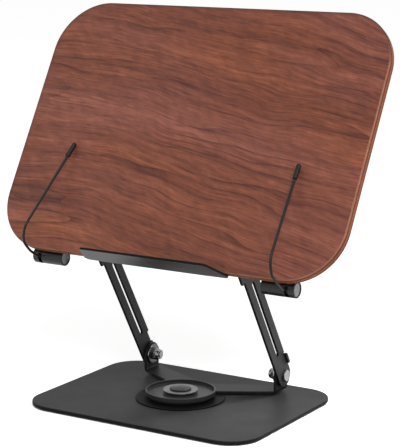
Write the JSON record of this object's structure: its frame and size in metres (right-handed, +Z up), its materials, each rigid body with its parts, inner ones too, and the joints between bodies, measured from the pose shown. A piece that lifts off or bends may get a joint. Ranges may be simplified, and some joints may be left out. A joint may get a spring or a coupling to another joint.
{
  "type": "rotating book stand",
  "caption": "Walnut reading panel with a ledge and sprung page clips, on folding slotted arms over a swivelling bracket and a flat steel base plate.",
  "frame": {"origin": "middle of the base plate, on the swivel axis, at the table under the rubber pads", "axes": "+Z up along the swivel axis, +X to the reader's right, the reader sits on the -Y side"},
  "size_m": [0.34, 0.17, 0.3405],
  "materials": {
    "powder_coat": "satin dark grey powder coat on sheet steel",
    "bracket_coat": "satin dark grey powder coat on bent sheet steel",
    "cup_coat": "satin dark grey paint on pressed steel",
    "cap_coat": "satin grey paint",
    "arm_coat": "satin near-black powder coat on flat steel bar",
    "barrel_coat": "satin charcoal paint",
    "wire_coat": "black coated spring wire",
    "zinc": "bright zinc plated steel",
    "spring_steel": "bare spring steel",
    "screw_black": "black oxide screws",
    "walnut": "oiled walnut, grain across the panel",
    "rubber": "matte black rubber",
    "sleeve_rubber": "soft black rubber",
    "nylon": "black nylon"
  },
  "bodies": {
    "base": {"base_plate": "powder_coat", "base_pads": "rubber", "swivel_stud": "zinc", "bearing_disc": "nylon", "thrust_ring": "zinc", "swivel_cap": "cap_coat"},
    "turntable": {"swivel_bracket": "bracket_coat", "swivel_cup": "cup_coat"},
    "arms": {"arm_left": "arm_coat", "arm_right": "arm_coat", "lower_bolts": "zinc", "lower_washers": "zinc", "lower_nuts": "zinc", "lower_friction_washers": "nylon"},
    "upper_hinge": {"upper_bolts": "zinc", "upper_washers": "zinc", "upper_nuts": "zinc", "upper_friction_washers": "nylon"},
    "reading_panel": {"panel": "walnut", "panel_bracket": "bracket_coat", "panel_bracket_screws": "screw_black", "ledge": "powder_coat", "ledge_screws": "screw_black", "clip_housing_left": "barrel_coat", "clip_housing_right": "barrel_coat", "clip_housing_screws": "screw_black", "clip_pin_left": "zinc", "clip_pin_right": "zinc", "clip_spring_left": "spring_steel", "clip_spring_right": "spring_steel"},
    "left_clip": {"clip_wire_left": "wire_coat", "clip_sleeve_left": "sleeve_rubber", "clip_hub_left": "nylon"},
    "right_clip": {"clip_wire_right": "wire_coat", "clip_sleeve_right": "sleeve_rubber", "clip_hub_right": "nylon"}
  },
  "joints": [
    {"name": "swivel", "type": "hinge", "parent": "base", "child": "turntable", "pos_m": [0, 0, 0], "axis": [0, 0, 1], "continuous": true},
    {"name": "arm_fold", "type": "hinge", "parent": "turntable", "child": "arms", "pos_m": [0, 0.0575, 0.0214], "axis": [1, 0, 0], "range_deg": [-31, 57]},
    {"name": "panel_level", "type": "hinge", "parent": "arms", "child": "upper_hinge", "pos_m": [0, -0.01275, 0.13785], "axis": [-1, 0, 0], "range_deg": [-31, 57]},
    {"name": "panel_tilt", "type": "hinge", "parent": "upper_hinge", "child": "reading_panel", "pos_m": [0, -0.01275, 0.13785], "axis": [-1, 0, 0], "range_deg": [-10, 57]},
    {"name": "clip_left_open", "type": "hinge", "parent": "reading_panel", "child": "left_clip", "pos_m": [-0.116, -0.02989, 0.12363], "axis": [1, 0, 0], "range_deg": [0, 70], "stiffness_Nm_per_rad": 0.12, "springref_deg": -51.57},
    {"name": "clip_right_open", "type": "hinge", "parent": "reading_panel", "child": "right_clip", "pos_m": [0.116, -0.02989, 0.12363], "axis": [1, 0, 0], "range_deg": [0, 70], "stiffness_Nm_per_rad": 0.12, "springref_deg": -51.57}
  ],
  "couplings": [
    {"joint": "panel_level", "follows": "arm_fold", "ratio": 1}
  ]
}
